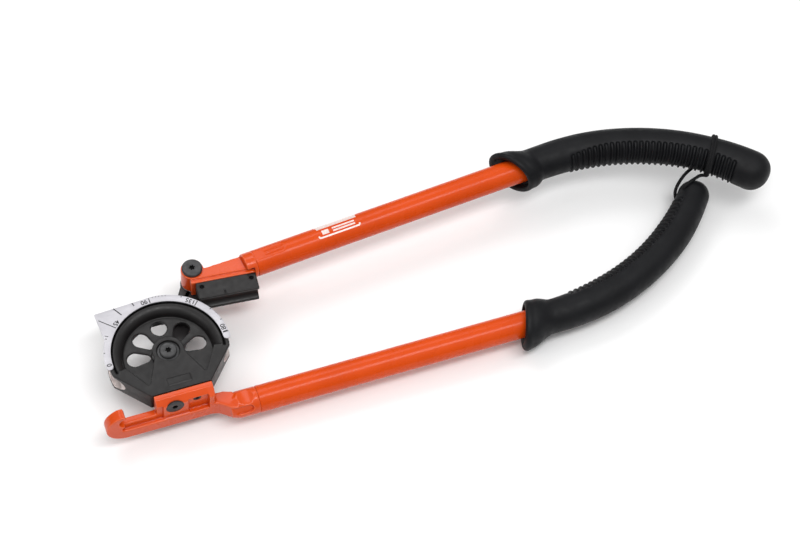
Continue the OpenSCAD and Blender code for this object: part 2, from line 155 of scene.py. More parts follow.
class Finish:
    """A Principled material with a few node helpers. Lengths are in millimetres."""

    def __init__(self, name, metallic=0.0, coat=0.0, coat_roughness=0.1, specular=0.5):
        self.material = bpy.data.materials.new(name)
        self.material.use_nodes = True
        tree = self.material.node_tree
        self.nodes, self.links = tree.nodes, tree.links
        self.shader = self.nodes["Principled BSDF"]
        self.shader.inputs["Metallic"].default_value = metallic
        self.shader.inputs["Coat Weight"].default_value = coat
        self.shader.inputs["Coat Roughness"].default_value = coat_roughness
        self.shader.inputs["Specular IOR Level"].default_value = specular
        self.place = self.nodes.new("ShaderNodeTexCoord").outputs["Object"]

    def moved(self, offset=(0, 0, 0), stretch=(1, 1, 1)):
        """Object coordinates, moved and stretched."""
        node = self.nodes.new("ShaderNodeMapping")
        node.inputs["Location"].default_value = offset
        node.inputs["Scale"].default_value = stretch
        self.links.new(self.place, node.inputs["Vector"])
        return node.outputs["Vector"]

    def noise(self, size, detail=3.0, roughness=0.5, place=None):
        """Noise with features of about this size."""
        node = self.nodes.new("ShaderNodeTexNoise")
        node.inputs["Scale"].default_value = 1 / (size * MM)
        node.inputs["Detail"].default_value = detail
        node.inputs["Roughness"].default_value = roughness
        self.links.new(place or self.place, node.inputs["Vector"])
        return node.outputs["Fac"]

    def ramp(self, value, low, high, at=(0.35, 0.65)):
        """A value spread between two greys or two colours."""
        node = self.nodes.new("ShaderNodeValToRGB")
        self.links.new(value, node.inputs["Fac"])
        for stop, colour, position in zip(node.color_ramp.elements, (low, high), at):
            stop.position = position
            stop.color = (colour, colour, colour, 1) if isinstance(colour, float) else (*colour, 1)
        return node.outputs["Color"]

    def mix(self, share, first, second):
        node = self.nodes.new("ShaderNodeMix")
        node.data_type = "RGBA"
        self.links.new(share, node.inputs["Factor"])
        for socket, source in ((node.inputs["A"], first), (node.inputs["B"], second)):
            if isinstance(source, tuple):
                socket.default_value = (*source, 1)
            else:
                self.links.new(source, socket)
        return node.outputs["Result"]

    def pointed(self):
        """How far the surface is convex (above 0.5) or hollow (below 0.5)."""
        return self.nodes.new("ShaderNodeNewGeometry").outputs["Pointiness"]

    def bump(self, value, depth, under=None):
        """Relief of this depth. under is a coarser relief that it adds to."""
        node = self.nodes.new("ShaderNodeBump")
        node.inputs["Strength"].default_value = 1.0
        node.inputs["Distance"].default_value = depth * MM
        self.links.new(value, node.inputs["Height"])
        if under is not None:
            self.links.new(under, node.inputs["Normal"])
        return node.outputs["Normal"]

    def done(self, colour=None, roughness=None, normal=None):
        for socket, source in (("Base Color", colour), ("Roughness", roughness), ("Normal", normal)):
            if source is not None:
                self.links.new(source, self.shader.inputs[socket])
        return self.material


def enamel(name, cast):
    """Orange enamel: smooth on a tube, over a faint casting grain on a head, with painted shade in a head's
    hollows and a painted highlight on its convex edges.
    """
    f = Finish(name, coat=0.35 if cast else 0.1, coat_roughness=0.06 if cast else 0.1, specular=0.16)
    tint = f.ramp(f.noise(45, 2.0), (0.61, 0.060, 0.003), (0.66, 0.068, 0.0035))
    dust = f.ramp(f.noise(2.2, 4.0), 0.0, 0.10, (0.45, 0.8))
    colour = f.mix(dust, tint, (0.54, 0.047, 0.003))
    normal = f.bump(f.noise(1.1, 2.0), 0.012)
    if cast:
        # painted shade: a head's hollows darkened to a dark red-brown
        colour = f.mix(f.ramp(f.pointed(), 1.0, 0.0, (0.45, 0.495)), colour, (0.36, 0.014, 0.001))
        # painted highlight: a head's convex edges lightened to a pale orange
        colour = f.mix(f.ramp(f.pointed(), 0.0, 0.55, (0.51, 0.56)), colour, (0.85, 0.22, 0.10))
        normal = f.bump(f.noise(2.6, 4.0, 0.6), 0.05, normal)
    rough = f.ramp(f.noise(12, 3.0), *((0.26, 0.38) if cast else (0.22, 0.32)))
    return f.done(colour, rough, normal)


def black_enamel(name, size=1.6, depth=0.06, tone=0.0085, rough=(0.32, 0.46)):
    """Satin black enamel with a fine cast grain."""
    f = Finish(name, specular=0.3)
    tint = f.ramp(f.noise(20, 3.0), (tone * 0.95, tone * 0.84, tone * 0.86),
                  (tone * 1.35, tone * 1.22, tone * 1.24))
    normal = f.bump(f.noise(size, 4.0, 0.6), depth)
    return f.done(tint, f.ramp(f.noise(6, 4.0), *rough), normal)


def bare_groove():
    """Machined metal in the tube grooves, with faint tool lines and tarnish."""
    f = Finish("bare_groove", metallic=0.85)
    tint = f.ramp(f.noise(5, 4.0), (0.52, 0.45, 0.43), (0.68, 0.62, 0.60))
    lines = f.noise(0.35, 2.0, 0.5, f.moved(stretch=(0.15, 0.15, 1)))
    return f.done(tint, f.ramp(f.noise(3, 3.0), 0.34, 0.5), f.bump(lines, 0.03))


def plate_metal():
    """Satin metal plate, brushed along X, with faint handling marks."""
    f = Finish("plate_metal", metallic=0.3, specular=0.4)
    tint = f.ramp(f.noise(16, 3.0), (0.49, 0.48, 0.51), (0.56, 0.55, 0.58))
    brushed = f.noise(0.5, 3.0, 0.6, f.moved(stretch=(0.04, 1, 1)))
    colour = f.mix(f.ramp(brushed, 0.0, 0.25), tint, (0.38, 0.37, 0.40))
    return f.done(colour, f.ramp(f.noise(9, 4.0), 0.38, 0.52), f.bump(brushed, 0.015))


def ink():
    """Dark print on the plate, a little thin in places."""
    f = Finish("ink")
    return f.done(f.ramp(f.noise(0.9, 3.0), (0.006, 0.006, 0.007), (0.03, 0.028, 0.032), (0.55, 0.85)),
                  f.ramp(f.noise(2, 2.0), 0.45, 0.6), f.bump(f.noise(0.4, 2.0), 0.01))


def rubber():
    """Black moulded rubber with a fine pebbled skin."""
    f = Finish("rubber", specular=0.2)
    tint = f.ramp(f.noise(30, 3.0), (0.0036, 0.0038, 0.0048), (0.0062, 0.0065, 0.0078))
    # lighter where the surface is convex, on rib crowns and the mouth's lip
    lighter_on_crests = f.mix(f.ramp(f.pointed(), 0.0, 1.0, (0.55, 0.68)), tint, (0.014, 0.014, 0.016))
    skin = f.bump(f.noise(0.55, 3.0, 0.6), 0.04, f.bump(f.noise(4.5, 3.0), 0.08))
    return f.done(lighter_on_crests, f.ramp(f.noise(8, 4.0), 0.46, 0.60), skin)


def turned_black(name, centre):
    """Blackened steel with turning marks round a bolt's axis."""
    f = Finish(name, metallic=0.35)
    rings = f.nodes.new("ShaderNodeTexWave")
    rings.wave_type, rings.rings_direction = "RINGS", "Z"
    rings.inputs["Scale"].default_value = 260
    rings.inputs["Distortion"].default_value = 0.6
    f.links.new(f.moved(offset=(-centre.x * MM, -centre.y * MM, 0)), rings.inputs["Vector"])
    tint = f.ramp(f.noise(4, 4.0), (0.028, 0.028, 0.029), (0.046, 0.046, 0.048))
    return f.done(tint, f.ramp(f.noise(2.5, 4.0), 0.32, 0.46), f.bump(rings.outputs["Fac"], 0.012))


def blackened():
    """Blackened screw steel."""
    f = Finish("blackened", metallic=0.4)
    tint = f.ramp(f.noise(3, 4.0), (0.012, 0.012, 0.013), (0.028, 0.028, 0.030))
    return f.done(tint, f.ramp(f.noise(2, 4.0), 0.32, 0.5), f.bump(f.noise(0.7, 3.0), 0.02))


def painted_socket_shade():
    """Painted shade: near-black with a little dust, put inside sockets and holes, in the former's gap and on
    the shoe's pins, where shade falls.
    """
    f = Finish("painted_socket_shade", specular=0.1)
    return f.done(f.ramp(f.noise(1.2, 3.0), (0.001, 0.001, 0.001), (0.004, 0.004, 0.004)),
                  f.ramp(f.noise(2, 2.0), 0.6, 0.9), f.bump(f.noise(0.6, 2.0), 0.02))


def zinc():
    """Zinc-plated steel, a little clouded."""
    f = Finish("zinc", metallic=1.0)
    tint = f.ramp(f.noise(5, 5.0), (0.40, 0.40, 0.41), (0.58, 0.58, 0.585))
    return f.done(tint, f.ramp(f.noise(2.5, 4.0), 0.28, 0.48), f.bump(f.noise(0.8, 3.0), 0.02))


def bronze():
    """Sintered bronze, speckled with pores."""
    f = Finish("bronze", metallic=0.9)
    tint = f.ramp(f.noise(0.8, 5.0), (0.33, 0.19, 0.07), (0.58, 0.38, 0.17), (0.38, 0.6))
    return f.done(tint, f.ramp(f.noise(1.5, 4.0), 0.35, 0.55), f.bump(f.noise(0.6, 4.0), 0.03))


def braid():
    """Black elastic cord with a fine braided cover."""
    f = Finish("braid", specular=0.15)
    waves = []
    for tilt in (1, -1):
        wave = f.nodes.new("ShaderNodeTexWave")
        wave.bands_direction = "DIAGONAL"
        wave.inputs["Scale"].default_value = 330
        f.links.new(f.moved(stretch=(tilt, 1, 1)), wave.inputs["Vector"])
        waves.append(wave.outputs["Fac"])
    weave = f.mix(waves[0], waves[1], (1.0, 1.0, 1.0))
    colour = f.mix(f.ramp(weave, 0.0, 1.0, (0.2, 0.9)), (0.003, 0.003, 0.0035), (0.010, 0.010, 0.011))
    return f.done(colour, f.ramp(f.noise(2, 3.0), 0.65, 0.85), f.bump(weave, 0.10))


def label_print():
    """Pale printed film with slightly scuffed ink."""
    f = Finish("label_print", coat=0.3, coat_roughness=0.15)
    return f.done(f.ramp(f.noise(1.4, 4.0), (0.62, 0.46, 0.42), (0.82, 0.68, 0.64), (0.3, 0.55)),
                  f.ramp(f.noise(6, 3.0), 0.28, 0.4), f.bump(f.noise(2.0, 2.0), 0.01))


# ---------------------------------------------------------------- handles, grips, label

DROOP_BEFORE, DROOP_LONG = 70, 85      # a droop inwards: how far before a grip's end it starts, its length


def handle_line(lever, s):
    """Point and inward direction on a handle's centre line, s mm from its lever's origin."""
    turn, straight = lever["turn"], lever["straight"]
    angle = max(0.0, s - straight) / GRIP_BEND_R
    x = min(s, straight) + GRIP_BEND_R * math.sin(angle)
    y = lever["y"] + turn * GRIP_BEND_R * (1 - math.cos(angle))
    spin = Matrix.Rotation(lever["heading"], 3, "Z")
    point = lever["origin"] + spin @ Vector((x, y, lever["z"]))
    inward = spin @ Vector((-math.sin(angle), turn * math.cos(angle), 0))
    end = straight + GRIP_BEND_R * math.radians(GRIP_BEND)
    return point + inward * lever["droop"] * smooth((s - end + DROOP_BEFORE) / DROOP_LONG), inward


def on_handle(lever, s, phi, r):
    """Point in metres at radius r round a handle; phi is 0 on the inner side and 90 degrees on top."""
    point, inward = handle_line(lever, s)
    return (point + (inward * math.cos(phi) + Vector((0, 0, 1)) * math.sin(phi)) * r) * MM


def skin(name, lever, rings, sides):
    """A closed mesh through rings of points. A ring is (s, radius): radius is a function of phi, s may be."""
    verts, faces = [], []
    for s, radius in rings:
        for j in range(sides):
            phi = TAU * j / sides
            place = s(phi) if callable(s) else s
            verts.append(on_handle(lever, place, phi, radius(phi)))
    count = len(rings)
    for k in range(count - 1):
        for j in range(sides):
            a, b = k * sides + j, k * sides + (j + 1) % sides
            faces.append((a, b, b + sides, a + sides))
    faces.append(tuple(range(sides))[::-1])
    faces.append(tuple(range((count - 1) * sides, count * sides)))
    mesh = bpy.data.meshes.new(name)
    mesh.from_pydata(verts, [], faces)
    mesh.update()
    bm = bmesh.new()
    bm.from_mesh(mesh)
    bmesh.ops.recalc_face_normals(bm, faces=bm.faces)
    bm.to_mesh(mesh)
    bm.free()
    return new_object(name, mesh)


RIB_COUNT = 29
RIB_FIRST, RIB_LAST = 24, 196          # along the grip, from the start of its bend
RIB_HALF = 1.65                        # half the width of one rib
RIB_DEPTH = 1.25                       # depth of the groove round a rib
RIB_GROOVE = 0.5                       # half the width of that groove
RIB_CROWN = 1.0                        # height of a rib's rounded top
RIB_VALLEY = 0.7                       # how far the skin between ribs lies below the grip's surface
RIB_SLOPE = 0.8                        # width of the slope down to it
RIB_FADE = 5                           # length before the first rib and after the last where it fades
RIB_REACH = 68                         # half the angle that a rib spans round the grip
RIB_FIRST_LOSS, RIB_LAST_LOSS = 18, 8  # how much less the first and the last rib reach
INNER_REACH, INNER_FADE = 1.15, 0.5    # radians round the grip where the ribs end, and over which they fade


def rib_relief(lever, s, phi, r):
    """Height of the ribs on the grip's inner side: rounded bars, each with a groove round it."""
    place = s - lever["straight"] - RIB_FIRST
    pitch = (RIB_LAST - RIB_FIRST) / (RIB_COUNT - 1)
    index = min(max(round(place / pitch), 0), RIB_COUNT - 1)
    share = index / (RIB_COUNT - 1)
    first_loss = RIB_FIRST_LOSS * max(0.0, 1 - share * 4) ** 1.5
    last_loss = RIB_LAST_LOSS * max(0.0, share * 4 - 3) ** 1.5
    reach = math.radians(RIB_REACH - first_loss - last_loss)
    angle = abs((phi + math.pi) % TAU - math.pi)
    across = abs(place - index * pitch)
    past = r * (angle - reach) + RIB_HALF
    distance = (math.hypot(across, past) if past > 0 else across) - RIB_HALF
    groove = -RIB_DEPTH * math.exp(-(distance / RIB_GROOVE) ** 2)
    inner = smooth((INNER_REACH - angle) / INNER_FADE)
    crown = RIB_CROWN * smooth(-distance / RIB_HALF) * inner
    past_last = place - (RIB_LAST - RIB_FIRST)
    ends = smooth((place + RIB_FADE) / RIB_FADE) * smooth((RIB_FADE - past_last) / RIB_FADE)
    valley = RIB_VALLEY * smooth(distance / RIB_SLOPE) * inner * ends
    return groove + crown - valley


LIP_R = 17                             # radius from which the mouth's lip is fuller or leaner by side
MOUTH_LONG = 34                        # length of the flared mouth
FLARE_FROM, FLARE_R = 3.2, 22.9        # place and radius of its widest ring
FLARE_STEPS = 24
CUT_FROM, CUT_FADE = 6, 48             # where the oblique cut starts to fade along the mouth, and its length
PLAIN_STEP, RIB_STEP = 1.5, 0.42       # distance between rings
GRIP_SIDES = 168
TIP_STEPS = 22


def grip(name, lever, body_radii, material):
    """A rubber grip: flared mouth round the tube, ribs inside the bend and a round tip.

    body_radii is the radius where the mouth ends, then (place along the bend, radius) pairs.
    """
    mouth = lever["mouth"]
    end = lever["straight"] + GRIP_BEND_R * math.radians(GRIP_BEND)
    rings = []

    def add(s, r, lip=0.0):
        """A ring near the mouth: cut obliquely, and fuller or leaner on its inner and outer sides."""
        fade = 1 - smooth((s - mouth - CUT_FROM) / CUT_FADE)

        def place(phi):
            return s + lever["oblique"] * fade * (0.5 + 0.5 * math.cos(phi))

        def radius(phi):
            side = lever["inner_lip"] if math.cos(phi) > 0 else lever["outer_lip"]
            return r + lip * side * math.cos(phi) ** 2

        rings.append((place, radius))

    # from the tube out over the lip
    for s, r in ((8, HANDLE_R + 0.05), (7.4, HANDLE_R + 0.1), (6.8, 13.6), (6.4, 15.2), (5.2, 16.6),
                 (2.6, 17.3), (0.9, 17.9), (0.25, 18.7), (0, 19.8), (0.1, 20.8), (0.7, 21.9), (1.7, 22.6),
                 (FLARE_FROM, FLARE_R)):
        add(mouth + s, r, smooth((r - LIP_R) / 5))
    flare = ((FLARE_FROM, FLARE_R), (9, 22.0), (MOUTH_LONG, body_radii[0]))
    for k in range(1, FLARE_STEPS + 1):
        s = FLARE_FROM + (MOUTH_LONG - FLARE_FROM) * k / FLARE_STEPS
        add(mouth + s, along(flare, s), 1 - smooth((s - FLARE_FROM) / 30))
    table = [(mouth + MOUTH_LONG, body_radii[0])] + [(lever["straight"] + s, r) for s, r in body_radii[1]]
    s = mouth + MOUTH_LONG + 1.0
    first, last = lever["straight"] + RIB_FIRST - RIB_FADE, lever["straight"] + RIB_LAST + RIB_FADE
    # the oblique cut has faded out at the end of these rings
    while s < mouth + CUT_FROM + CUT_FADE:
        add(s, along(table, s))
        s += 2.0
    while s < end:
        base = along(table, s)
        if first < s < last:
            rings.append((s, lambda phi, s=s, r=base: r + rib_relief(lever, s, phi, r)))
            s += RIB_STEP
        else:
            rings.append((s, lambda phi, r=base: r))
            s += PLAIN_STEP
    tip_r = along(table, end)
    for k in range(1, TIP_STEPS):
        a = math.pi / 2 * k / TIP_STEPS
        rings.append((end + 0.97 * tip_r * math.sin(a), lambda phi, r=tip_r * math.cos(a) ** 0.92: r))
    obj = skin(name, lever, rings, GRIP_SIDES)
    shade(obj, 50)
    return settle(obj, lever["body"], material, "grip_rubber", name.replace("_skin", ""))


CRIMP_PHI = math.radians(95)           # direction that the flat faces
CRIMP_LONG, CRIMP_FADE = 33, 6         # length of the flat, and of its end that rises to the round
CRIMP_LEVEL = 11.35                    # height of the flat above the tube's axis
CRIMP_TURN = 1.2                       # radians to each side where the flat is well past
BEAD_FROM, BEAD_TO = 10, 30            # along the flat
BEAD_HIGH, BEAD_HALF = 0.25, 1.4
BEAD_GROOVE, BEAD_GROOVE_AT, BEAD_GROOVE_HALF = 0.45, 2.1, 0.6


def pressed(s, phi, from_s):
    """Radius of the upper tube where its top is pressed flat, with a raised bead down the middle."""
    end = from_s + CRIMP_LONG
    level = CRIMP_LEVEL + (HANDLE_R - CRIMP_LEVEL) * smooth((s - end + CRIMP_FADE) / CRIMP_FADE)
    turn = abs((phi - CRIMP_PHI + math.pi) % TAU - math.pi)
    r = HANDLE_R
    if turn < CRIMP_TURN:
        r = min(HANDLE_R, level / math.cos(turn))
        aside = r * math.sin(turn)
        in_length = smooth((s - from_s - BEAD_FROM) / 2) * smooth((from_s + BEAD_TO - s) / 2)
        r -= BEAD_GROOVE * math.exp(-((aside - BEAD_GROOVE_AT) / BEAD_GROOVE_HALF) ** 2) * in_length
        r += BEAD_HIGH * math.exp(-(aside / BEAD_HALF) ** 4) * in_length
    return r


TUBE_HIDDEN = 60                       # how far a tube's skin runs on inside its grip
TUBE_SIDES = 160


def tube(name, lever, material, flat):
    """A painted handle tube, from its seam to where its grip hides it."""
    seam, end = lever["seam"], lever["mouth"] + TUBE_HIDDEN
    inner = HANDLE_R - HANDLE_WALL
    # the bore, then the rounded edge of its mouth
    rings = [(seam + 3, lambda phi: inner), (seam + 0.15, lambda phi: inner), (seam, lambda phi: inner + 0.3)]
    for step, r in ((0.0, HANDLE_R - 0.5), (0.15, HANDLE_R - 0.15)):
        rings.append((seam + step, lambda phi, r=r: min(r, pressed(seam, phi, seam)) if flat else r))
    s = seam + 0.5
    while s < end:
        rings.append((s, lambda phi, s=s: pressed(s, phi, seam) if flat else HANDLE_R))
        s += 0.8 if flat and s < seam + CRIMP_LONG + 9 else 6.0
    obj = skin(name, lever, rings, TUBE_SIDES)
    shade(obj, 40)
    return settle(obj, lever["body"], material, "lever_paint", name.replace("_skin", ""))


LABEL_FROM, LABEL_LONG = 122, 44       # along the upper tube
LABEL_WIDE = 17.5                      # round the tube
LABEL_PHI = math.radians(103)
LABEL_FRAME = 1.5                      # width of its frame
LABEL_CORNER_R, LABEL_INNER_CORNER_R = 2.6, 1.4
LABEL_ABOVE, LABEL_THICK = 0.07, 0.1   # its height above the tube, and its thickness
LABEL_ROWS = 8                         # strips that bend a bar round the tube


def rounded_loop(long, wide, r, steps=6):
    """Points of a rectangle with round corners, centred on the origin."""
    points = []
    for k, (sx, sy) in enumerate(((1, 1), (-1, 1), (-1, -1), (1, -1))):
        for i in range(steps + 1):
            a = math.pi / 2 * (k + i / steps)
            points.append((sx * (long / 2 - r) + r * math.cos(a), sy * (wide / 2 - r) + r * math.sin(a)))
    return points


def label(material):
    """A plain printed label: a pale rounded frame, one wide band and three thin bars, no lettering."""
    bm = bmesh.new()

    def place(u, v):
        s = LABEL_FROM + LABEL_LONG / 2 + u
        return bm.verts.new(on_handle(UPPER, s, LABEL_PHI + v / HANDLE_R, HANDLE_R + LABEL_ABOVE))

    outer = [place(*p) for p in rounded_loop(LABEL_LONG, LABEL_WIDE, LABEL_CORNER_R)]
    inner = [place(*p) for p in rounded_loop(LABEL_LONG - 2 * LABEL_FRAME, LABEL_WIDE - 2 * LABEL_FRAME,
                                             LABEL_INNER_CORNER_R)]
    for k in range(len(outer)):
        n = (k + 1) % len(outer)
        bm.faces.new((outer[k], outer[n], inner[n], inner[k]))
    # the band, then the bars: from and to along the tube, from and to round it
    for u0, u1, v0, v1 in ((-20.6, 20.6, 1.6, 7.4), (-6, 17, -2.6, -0.9), (-6, 17, -5.6, -3.9),
                           (-17, -10, -5.6, -0.9)):
        grid = [[place(u, v0 + (v1 - v0) * i / LABEL_ROWS) for i in range(LABEL_ROWS + 1)]
                for u in (u0, u1)]
        for i in range(LABEL_ROWS):
            bm.faces.new((grid[0][i], grid[1][i], grid[1][i + 1], grid[0][i + 1]))
    bmesh.ops.recalc_face_normals(bm, faces=bm.faces)
    mesh = bpy.data.meshes.new("tube_label")
    bm.to_mesh(mesh)
    bm.free()
    obj = new_object("tube_label", mesh)
    thick = obj.modifiers.new("thick", "SOLIDIFY")
    thick.thickness, thick.offset = LABEL_THICK * MM, 0
    apply_modifiers(obj)
    return settle(obj, "upper_lever", material, "scale_plate")


# ---------------------------------------------------------------- castings and turned parts

def box_mesh(name, low, high):
    """A plain closed box in millimetres, only ever melted into a casting before remeshing."""
    bm = bmesh.new()
    bmesh.ops.create_cube(bm, size=1)
    size, middle = Vector(high) - Vector(low), (Vector(high) + Vector(low)) / 2
    for v in bm.verts:
        v.co = (Vector(a * b for a, b in zip(v.co, size)) + middle) * MM
    mesh = bpy.data.meshes.new(name)
    bm.to_mesh(mesh)
    bm.free()
    return mesh


def paint(obj, material, inside):
    """Gives another material to the faces whose centres, in millimetres, are inside."""
    obj.data.materials.append(material)
    index = len(obj.data.materials) - 1
    for p in obj.data.polygons:
        if inside(p.center / MM):
            p.material_index = index


def casting(node, body, material, slot, voxel, passes, extras=(), carve=None, paints=()):
    """A CAD node remade with the soft edges and fillets of a casting."""
    obj = cad_copy(node, node + "_cast")
    if extras:
        bm = bmesh.new()
        bm.from_mesh(obj.data)
        for extra in extras:
            bm.from_mesh(extra)
        bm.to_mesh(obj.data)
        bm.free()
    remesh = obj.modifiers.new("remesh", "REMESH")
    remesh.mode, remesh.voxel_size = "VOXEL", voxel * MM
    soften = obj.modifiers.new("soften", "SMOOTH")
    soften.factor, soften.iterations = 0.5, passes
    apply_modifiers(obj)
    if carve:
        for v in obj.data.vertices:
            v.co = carve(v.co / MM) * MM
    shade(obj, 70)
    settle(obj, body, material, slot, node)
    for other, inside in paints:
        paint(obj, other, inside)
    return obj


def crisp(node, body, material, slot, bevel, dark):
    """A CAD node remade with small bevels on its machined edges. dark(p) is true inside its socket, which
    gets painted shade.
    """
    obj = cad_copy(node, node + "_turned")
    cut = obj.modifiers.new("bevel", "BEVEL")
    cut.width, cut.segments, cut.limit_method = bevel * MM, 2, "ANGLE"
    cut.angle_limit = math.radians(40)
    cut.use_clamp_overlap = True
    apply_modifiers(obj)
    shade(obj, 35)
    settle(obj, body, material, slot, node)
    # painted shade inside the socket
    if dark:
        paint(obj, PAINTED_SHADE_BLACK, dark)
    return obj


def in_former_groove(p):
    """True inside the tube groove that runs round the former and out through its sides."""
    from_centre = math.hypot(p.x, p.y) if p.y > 0 else abs(p.x)
    return math.hypot(from_centre - GROOVE_BEND_R, p.z) < GROOVE_R + 0.35


GAP_R = 51.8                           # middle of the gap between the former's ring and the scale plate
GAP_HALF = 0.75                        # half its width
GAP_DEEPER = 2.2                       # how much deeper it gets
GAP_FLOOR, GAP_MOUTH = 5, 10.4         # heights between which it gets painted shade
GAP_TOP_FROM = 8                       # height from which the former's top is moved


def carve_gap(p):
    """Deepens that gap, which a remesh leaves shallow."""
    if p.z > GAP_TOP_FROM and p.y > -10:
        depth = math.exp(-((math.hypot(p.x, p.y) - GAP_R) / GAP_HALF) ** 2)
        p = p - Vector((0, 0, GAP_DEEPER * depth * smooth((p.z - GAP_TOP_FROM) / 1.5)))
    return p


# faces in the gap, which get painted shade
def in_gap(p):
    return abs(math.hypot(p.x, p.y) - GAP_R) < GAP_HALF and GAP_FLOOR < p.z < GAP_MOUTH and p.y > -9


SOCKET_R, SOCKET_DEEP = 3.3, 2.4       # of the bolts' sockets, with a little room
SCREW_SOCKET_R = 3.1


def in_socket(centre, top):
    """A test for the inside of a bolt head's socket, under its flat top."""
    return lambda p: (math.hypot(p.x - centre.x, p.y - centre.y) < SOCKET_R
                      and top - SOCKET_DEEP < p.z < top - 0.12)


def in_screw_socket(p):
    return math.hypot(p.x - SCREW_X, p.z) < SCREW_SOCKET_R and p.y > SCREW_Y + 0.15


INDEX_X, INDEX_DEEP, INDEX_HALF = 25.4, 0.7, 0.5   # the index line: place from the pivot, depth, half width
INDEX_FROM_Y, INDEX_TO_Y = -33.5, -27.5
SHOE_TOP_FROM = 9.5


def carve_shoe(p):
    """Cuts the index line into the shoe's top face, near its grooved side."""
    local = Matrix.Rotation(-SHOE_HEADING, 3, "Z") @ (p - PIVOT)
    if local.z > SHOE_TOP_FROM and INDEX_FROM_Y < local.y < INDEX_TO_Y:
        p = p - Vector((0, 0, INDEX_DEEP * math.exp(-((local.x - INDEX_X) / INDEX_HALF) ** 2)))
    return p


HOOK_FROM_X, HOOK_TO_X = -62, -40      # the part of the hook that is moved
HOOK_FROM_Z, HOOK_TO_Y = 3, -44
HOOK_BACK, HOOK_DOWN = 3.6, 1.2        # how far its tip moves


def carve_hook(p):
    """Draws the hook's tip back and rounds it, above the tube seat."""
    if HOOK_FROM_X < p.x < HOOK_TO_X and p.z > HOOK_FROM_Z and p.y < HOOK_TO_Y:
        lift = smooth((p.z - HOOK_FROM_Z) / 7) * smooth((p.x - HOOK_FROM_X) / 8)
        p = p - Vector((HOOK_BACK * lift, 0, HOOK_DOWN * lift))
    return p


# ---------------------------------------------------------------- scale

SHORT = 1.6                            # length of a plain mark
MARK_BELOW, MARK_ABOVE = 0.02, 0.05    # how far a mark reaches under and over the plate's face
DIGIT_SIZE, DIGIT_THICK, DIGIT_BOLD = 6.4, 0.035, 0.11
DIGIT_ABOVE = 0.04


def scale_marks(material):
    """Printed angle lines and numbers on the plate. 0 is at 180 degrees, 180 at 0 degrees."""
    bm = bmesh.new()
    low, high = PLATE_TOP - MARK_BELOW, PLATE_TOP + MARK_ABOVE

    def line(bend, r0, r1, width):
        """A mark at this bend angle, between two radii. width is half its width."""
        a = math.radians(180 - bend)
        out, side = Vector((math.cos(a), math.sin(a), 0)), Vector((-math.sin(a), math.cos(a), 0))
        corners = [out * r + side * w for r, w in ((r0, -width), (r1, -width), (r1, width), (r0, width))]
        rings = [[bm.verts.new((c + Vector((0, 0, z))) * MM) for c in corners] for z in (low, high)]
        bm.faces.new(rings[1])
        bm.faces.new(rings[0][::-1])
        for k in range(4):
            n = (k + 1) % 4
            bm.faces.new((rings[0][k], rings[0][n], rings[1][n], rings[1][k]))

    line(45 - 1.9, 53.2, 71.4, 0.42)
    line(60 - 2, 57.0, 67.4, 0.55)
    line(75 - 2, 56.8, 60.6, 0.5)
    line(90 - 1.6, 52.9, 58.3, 0.45)
    line(135 - 0.8, 52.9, 58.6, 0.45)
    line(177.6, 53.4, 58.4, 0.42)
    line(30 + 1.5, 56.6, 59.9, 0.35)
    for bend in (15, 30, 120, 150, 165):
        line(bend - 1.4, 58.9 - SHORT, 58.7, 0.42)
    for k in range(5):
        line(92 + 3 * k, 58.6 - SHORT / 2, 58.6, 0.4)
    for number, bend in (("0", 0.2), ("45", 48.0), ("90", 83.0), ("135", 128.2), ("180", 173.4)):
        curve = bpy.data.curves.new("number_" + number, "FONT")
        curve.body = number
        curve.size, curve.extrude = DIGIT_SIZE * MM, DIGIT_THICK * MM
        curve.align_x, curve.align_y = "CENTER", "CENTER"
        curve.offset = DIGIT_BOLD * MM
        text = new_object("number_" + number, curve)
        a = math.radians(180 - bend)
        radius = (PLATE_INNER_R + PLATE_OUTER_R) / 2 + 0.1
        middle = Vector((radius * math.cos(a), radius * math.sin(a), PLATE_TOP + DIGIT_ABOVE)) * MM
        # read from outside, so the digits' tops point at the centre
        text.matrix_world = Matrix.Translation(middle) @ Matrix.Rotation(a + math.pi / 2, 4, "Z")
        bpy.context.view_layer.update()
        graph = bpy.context.evaluated_depsgraph_get()
        flat = bpy.data.meshes.new_from_object(text.evaluated_get(graph))
        flat.transform(text.matrix_world)
        bpy.data.objects.remove(text)
        bm.from_mesh(flat)
    bmesh.ops.recalc_face_normals(bm, faces=bm.faces)
    mesh = bpy.data.meshes.new("scale_marks")
    bm.to_mesh(mesh)
    bm.free()
    return settle(new_object("scale_marks", mesh), "lower_lever", material, "black_screw")


# ---------------------------------------------------------------- strap

STRAP_R = 1.7
STRAP_HOLE = Vector((542, 33.5, -18.5))
STRAP_WRAP = 541                       # place of the strap along the upper grip
STRAP_FROM, STRAP_TO = -30, 555        # degrees round the upper grip
STRAP_STEPS = 38
STRAP_PITCH = 3.9                      # distance along the grip between its start and its end
STRAP_REACH = 19.8                     # its distance from the upper grip's middle


